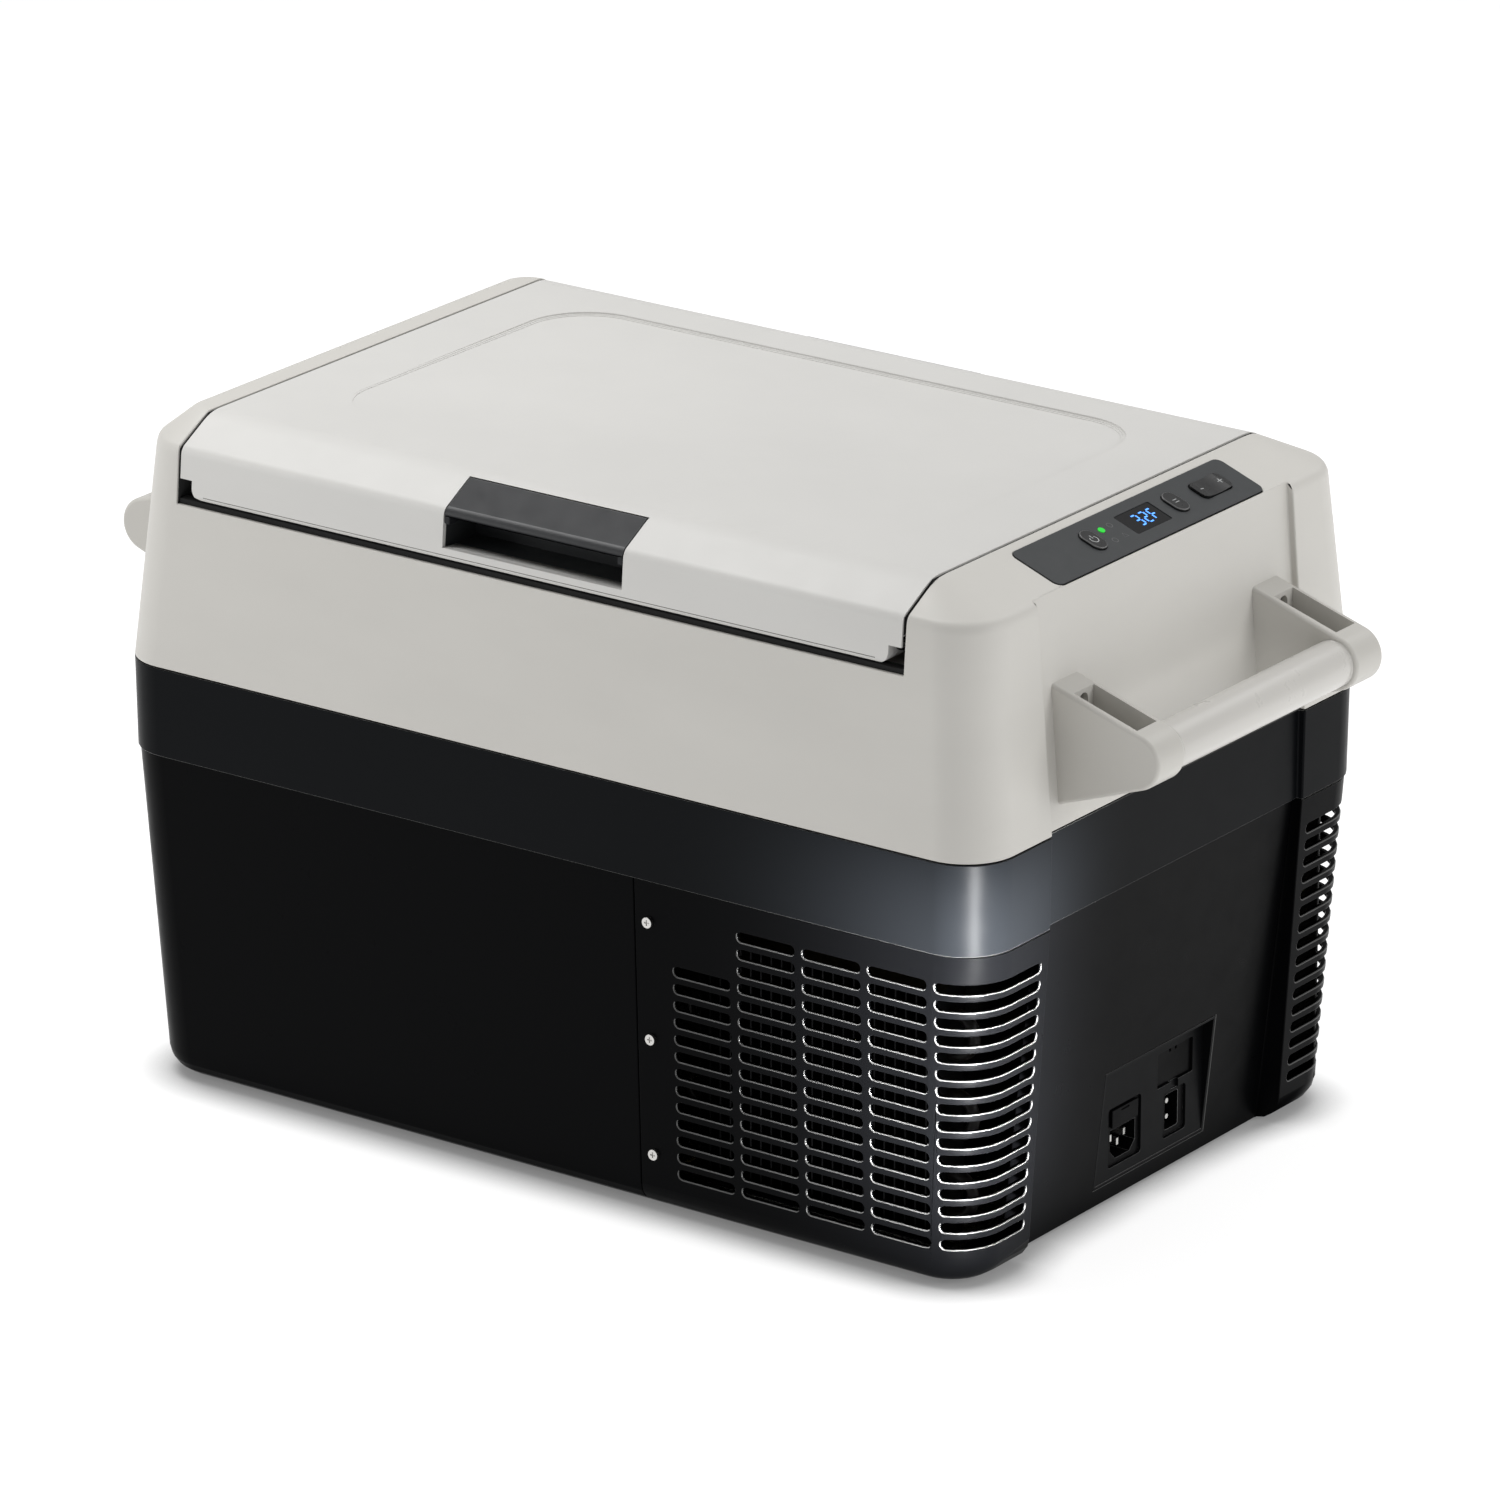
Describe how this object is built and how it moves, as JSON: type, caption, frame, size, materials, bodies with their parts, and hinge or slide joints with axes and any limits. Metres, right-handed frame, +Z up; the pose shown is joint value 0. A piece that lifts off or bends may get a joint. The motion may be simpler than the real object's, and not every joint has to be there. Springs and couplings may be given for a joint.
{
  "type": "portable compressor cooler box",
  "caption": "Portable powered cooler box: two-tone moulded case, latched lid between end towers, end handles, sloping control panel, vented cooling bay and wire basket.",
  "frame": {"origin": "centre of the footprint, on the ground under the rubber feet", "axes": "+X along the long side towards the controls and sockets, front face towards -Y, +Z up"},
  "size_m": [0.732, 0.398, 0.407],
  "materials": {
    "shell_light": "fine satin texture",
    "lid_light": "fine satin texture",
    "shell_dark": "fine texture",
    "belt_dark": "fine satin texture",
    "panel_dark": "satin",
    "trim_dark": "satin",
    "black_plastic": "satin",
    "gloss_black": "gloss",
    "lit_blue": "lit",
    "lit_green": "lit",
    "light_lens": "frosted",
    "handle_light": "satin",
    "white_plastic": "satin",
    "foam": "matt, closed cells",
    "rubber_black": "matt",
    "rubber_grey": "matt",
    "steel": "plated",
    "wire_coat": "powder coat",
    "aluminium": "mill finish",
    "black_paint": "gloss paint",
    "copper": "copper tube",
    "board_green": "solder mask"
  },
  "bodies": {
    "case": {"base_shell": "shell_dark", "belt_band": "belt_dark", "upper_shell": "shell_light", "rubber_feet": "rubber_black", "front_vent_cover": "shell_dark", "rear_vent_cover": "shell_dark", "cover_screws": "steel", "inlet_panel": "panel_dark", "ac_inlet": "black_plastic", "ac_pins": "steel", "dc_inlet": "black_plastic", "dc_pins": "steel", "control_bezel": "trim_dark", "display_window": "gloss_black", "display_digits": "lit_blue", "status_led": "lit_green", "control_board": "board_green", "keypad_mat": "rubber_grey", "right_handle_brackets": "handle_light", "left_handle_brackets": "handle_light", "right_grip": "handle_light", "left_grip": "handle_light", "grip_rods": "steel", "handle_screws": "steel", "pivot_pins": "steel", "inner_tub": "white_plastic", "evaporator_plate": "aluminium", "insulation_foam": "foam", "wire_basket": "wire_coat", "interior_light": "light_lens", "compressor": "black_paint", "compressor_grommets": "rubber_black", "bay_tray": "steel", "condenser_fins": "aluminium", "condenser_tube": "copper", "fan_shroud": "black_plastic", "fan_motor": "black_plastic", "control_module": "aluminium", "power_supply": "black_plastic", "drier": "copper", "refrigerant_pipes": "copper"},
    "lid": {"lid_outer": "lid_light", "lid_inner": "white_plastic", "lid_foam": "foam", "lid_gasket": "rubber_grey", "finger_pockets": "trim_dark", "latch_springs": "steel"},
    "front_latch": {"front_latch_lever": "trim_dark", "front_latch_bar": "black_plastic"},
    "rear_latch": {"rear_latch_lever": "trim_dark", "rear_latch_bar": "black_plastic"},
    "power_key": {"power_button": "trim_dark"},
    "set_key": {"set_button": "trim_dark"},
    "rocker_key": {"rocker_button": "trim_dark"},
    "fan": {"fan_rotor": "black_plastic"},
    "mains_fuse_drawer": {"ac_fuse_drawer": "black_plastic"},
    "fuse_cap": {"dc_fuse_cover": "black_plastic"},
    "basket_bail_left": {"left_bail": "wire_coat"},
    "basket_bail_right": {"right_bail": "wire_coat"}
  },
  "joints": [
    {"name": "lid_hinge", "type": "hinge", "parent": "case", "child": "lid", "pos_m": [-0.00725, 0.179, 0.374], "axis": [-1, 0, 0], "range_deg": [0, 95]},
    {"name": "front_latch_turn", "type": "hinge", "parent": "lid", "child": "front_latch", "pos_m": [-0.00725, -0.171, 0.39], "axis": [-1, 0, 0], "range_deg": [0, 12], "stiffness_Nm_per_rad": 0.4, "springref_deg": -14.32},
    {"name": "rear_latch_turn", "type": "hinge", "parent": "lid", "child": "rear_latch", "pos_m": [-0.00725, 0.171, 0.39], "axis": [1, 0, 0], "range_deg": [0, 12], "stiffness_Nm_per_rad": 0.4, "springref_deg": -14.32},
    {"name": "power_key_press", "type": "slide", "parent": "case", "child": "power_key", "axis": [-0.3481, 0, -0.9374], "range_m": [0, 0.001], "stiffness_N_per_m": 600, "springref_m": -0.0005},
    {"name": "set_key_press", "type": "slide", "parent": "case", "child": "set_key", "axis": [-0.3481, 0, -0.9374], "range_m": [0, 0.001], "stiffness_N_per_m": 600, "springref_m": -0.0005},
    {"name": "rocker_tilt", "type": "hinge", "parent": "case", "child": "rocker_key", "pos_m": [0.27018, 0.0772, 0.39582], "axis": [0.9374, 0, -0.3481], "range_deg": [-3, 3], "stiffness_Nm_per_rad": 0.1},
    {"name": "fan_spin", "type": "hinge", "parent": "case", "child": "fan", "pos_m": [0.175, -0.125, 0.092], "axis": [0, 1, 0], "continuous": true},
    {"name": "mains_fuse_slide", "type": "slide", "parent": "case", "child": "mains_fuse_drawer", "axis": [1, 0, 0], "range_m": [0, 0.018]},
    {"name": "fuse_cap_slide", "type": "slide", "parent": "case", "child": "fuse_cap", "axis": [1, 0, 0], "range_m": [0, 0.01]},
    {"name": "left_bail_swing", "type": "hinge", "parent": "case", "child": "basket_bail_left", "pos_m": [-0.21845, 0, 0.293], "axis": [0, -1, 0], "range_deg": [0, 165]},
    {"name": "right_bail_swing", "type": "hinge", "parent": "case", "child": "basket_bail_right", "pos_m": [0.00245, 0, 0.293], "axis": [0, 1, 0], "range_deg": [0, 165]}
  ]
}
